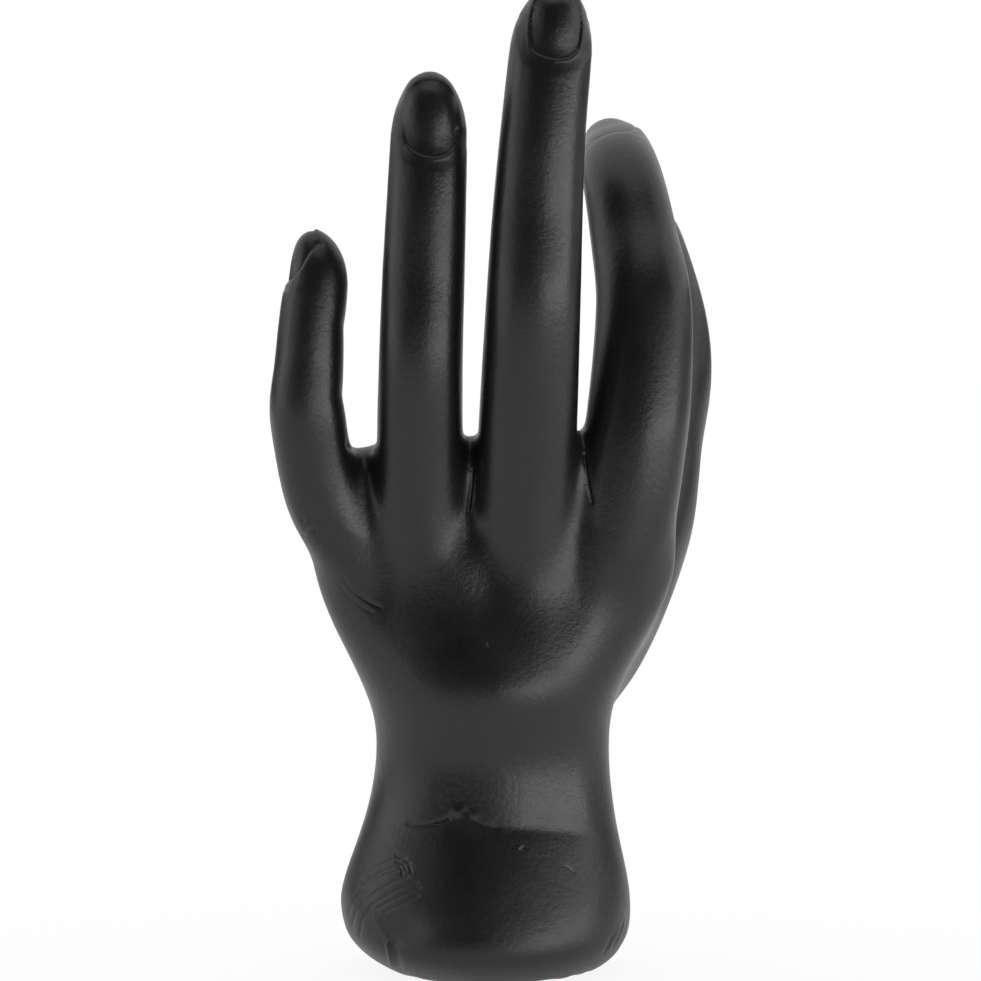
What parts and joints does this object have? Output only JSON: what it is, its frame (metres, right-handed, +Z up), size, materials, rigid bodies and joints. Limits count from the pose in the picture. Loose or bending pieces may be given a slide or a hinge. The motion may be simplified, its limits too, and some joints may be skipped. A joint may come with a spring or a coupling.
{
  "type": "hand jewelry stand",
  "caption": "Free-standing cast hand on a flared wrist, with raised fingers and a finger-and-thumb loop that carry rings, bracelets and chains.",
  "frame": {"origin": "centre of the flat underside of the wrist, on the surface that the hand stands on", "axes": "+Z up along the wrist and the raised fingers; -Y out of the back of the hand; +X to the thumb side"},
  "size_m": [0.084, 0.0685, 0.1848],
  "materials": {
    "cast_resin": "satin black cast resin with a fine pebbled skin"
  },
  "bodies": {
    "root": {"cast_hand": "cast_resin"}
  },
  "joints": []
}
